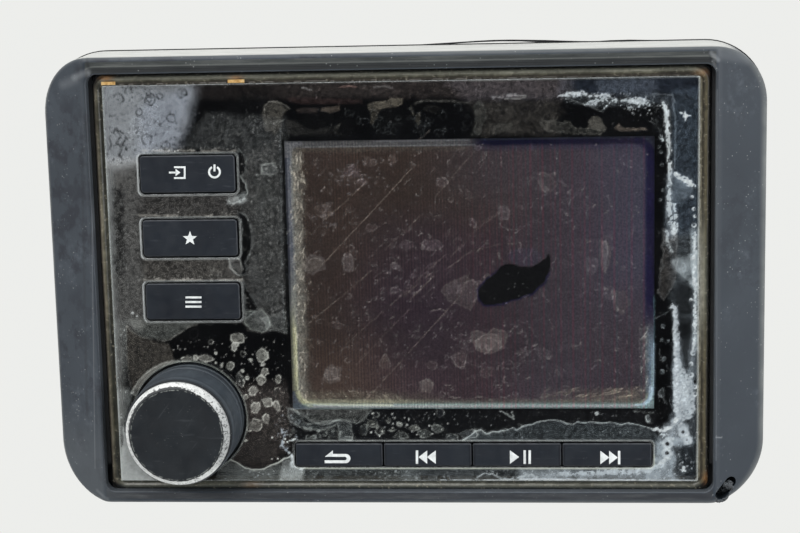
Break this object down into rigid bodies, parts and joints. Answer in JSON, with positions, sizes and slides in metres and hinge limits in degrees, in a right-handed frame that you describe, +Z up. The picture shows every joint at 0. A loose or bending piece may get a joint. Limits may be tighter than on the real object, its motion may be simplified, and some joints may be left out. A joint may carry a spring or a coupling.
{
  "type": "marine stereo",
  "caption": "Flush-mount marine media unit: clear stained front panel over a dark display, function and transport keys, push-and-turn knob, clip-on trim and finned rear.",
  "frame": {"origin": "centre of the mounting hole pattern in the rear face of the panel gasket, where the unit sits on the panel", "axes": "+X right and +Z up as seen by the person using it, +Y into the panel; the front faces -Y"},
  "size_m": [0.1456, 0.0946, 0.0932],
  "materials": {
    "trim_satin": "semi-gloss dark blue-grey, sun-bleached at the edges",
    "lens_clear": "clear hard-coated panel, hazed, stained and salt-crusted",
    "mask_black": "black back print",
    "bond_amber": "aged amber bond",
    "foam_dark": "black foam",
    "screen_glass": "dark brown-violet display, damaged by heat and water",
    "sheet_steel": "plain sheet metal",
    "diffuser": "white diffuser",
    "flex_orange": "amber film",
    "frame_black": "black moulded plastic",
    "key_navy": "near-black satin, slightly blue, scuffed",
    "silicone_grey": "silicone",
    "switch_black": "switch housing",
    "led_white": "light emitter",
    "board_green": "solder mask",
    "zinc_screw": "zinc plated",
    "stainless_screw": "stainless",
    "knob_black": "fine satin black",
    "knob_bright": "diamond-cut bright chamfer",
    "case_grey": "dark powder coat on die-cast aluminium",
    "sink_anodised": "black anodised",
    "seal_black": "black seal",
    "chip_black": "moulded package",
    "cap_sleeve": "blue-black sleeve",
    "ferrite_grey": "ferrite",
    "nickel": "nickel plate",
    "socket_black": "moulded connector"
  },
  "bodies": {
    "chassis": {"front_lens": "lens_clear", "mask_film": "mask_black", "lens_adhesive": "bond_amber", "screen_gasket": "foam_dark", "lcd_glass": "screen_glass", "lcd_tray": "sheet_steel", "lcd_backlight": "diffuser", "lcd_flex": "flex_orange", "front_frame": "frame_black", "function_key_mat": "silicone_grey", "transport_key_mat": "silicone_grey", "tact_switches": "switch_black", "key_lights": "led_white", "front_board": "board_green", "board_screws": "zinc_screw", "encoder_body": "switch_black", "encoder_bushing": "nickel", "encoder_washer": "nickel", "encoder_nut": "nickel", "mid_case": "case_grey", "case_seal": "seal_black", "assembly_screws": "stainless_screw", "panel_gasket": "seal_black", "heat_sink": "sink_anodised", "rear_gasket": "seal_black", "case_screws": "stainless_screw", "main_board": "board_green", "board_ribbon": "flex_orange", "amp_chip": "chip_black", "amp_clamp": "sheet_steel", "clamp_screws": "zinc_screw", "capacitors": "cap_sleeve", "power_choke": "ferrite_grey", "tuner_can": "sheet_steel", "chips": "chip_black", "power_socket": "socket_black", "line_out_jacks": "nickel", "aerial_socket": "nickel", "data_socket": "nickel", "power_pins": "nickel"},
    "trim": {"trim_bezel": "trim_satin"},
    "knob_stem": {"encoder_push_pin": "switch_black"},
    "knob": {"knob_body": "knob_black", "knob_ring": "knob_bright", "knob_cap": "knob_black", "encoder_shaft": "nickel"},
    "key_power": {"key_power": "key_navy", "plunger_power": "switch_black"},
    "key_favourites": {"key_favourites": "key_navy", "plunger_favourites": "switch_black"},
    "key_menu": {"key_menu": "key_navy", "plunger_menu": "switch_black"},
    "key_back": {"key_back": "key_navy", "plunger_back": "switch_black"},
    "key_previous": {"key_previous": "key_navy", "plunger_previous": "switch_black"},
    "key_play": {"key_play": "key_navy", "plunger_play": "switch_black"},
    "key_next": {"key_next": "key_navy", "plunger_next": "switch_black"}
  },
  "joints": [
    {"name": "power_press", "type": "slide", "parent": "chassis", "child": "key_power", "axis": [0, 1, 0], "range_m": [0, 0.0005], "stiffness_N_per_m": 3000, "springref_m": -0.0001},
    {"name": "favourites_press", "type": "slide", "parent": "chassis", "child": "key_favourites", "axis": [0, 1, 0], "range_m": [0, 0.0005], "stiffness_N_per_m": 3000, "springref_m": -0.0001},
    {"name": "menu_press", "type": "slide", "parent": "chassis", "child": "key_menu", "axis": [0, 1, 0], "range_m": [0, 0.0005], "stiffness_N_per_m": 3000, "springref_m": -0.0001},
    {"name": "back_press", "type": "slide", "parent": "chassis", "child": "key_back", "axis": [0, 1, 0], "range_m": [0, 0.0005], "stiffness_N_per_m": 3000, "springref_m": -0.0001},
    {"name": "previous_press", "type": "slide", "parent": "chassis", "child": "key_previous", "axis": [0, 1, 0], "range_m": [0, 0.0005], "stiffness_N_per_m": 3000, "springref_m": -0.0001},
    {"name": "play_press", "type": "slide", "parent": "chassis", "child": "key_play", "axis": [0, 1, 0], "range_m": [0, 0.0005], "stiffness_N_per_m": 3000, "springref_m": -0.0001},
    {"name": "next_press", "type": "slide", "parent": "chassis", "child": "key_next", "axis": [0, 1, 0], "range_m": [0, 0.0005], "stiffness_N_per_m": 3000, "springref_m": -0.0001},
    {"name": "knob_push", "type": "slide", "parent": "chassis", "child": "knob_stem", "axis": [0, 1, 0], "range_m": [0, 0.0006], "stiffness_N_per_m": 5000, "springref_m": -0.0002},
    {"name": "knob_turn", "type": "hinge", "parent": "knob_stem", "child": "knob", "pos_m": [-0.04394, -0.02, -0.02794], "axis": [0, -1, 0], "continuous": true},
    {"name": "trim_off", "type": "slide", "parent": "chassis", "child": "trim", "axis": [0, -1, 0], "range_m": [0, 0.016]}
  ]
}
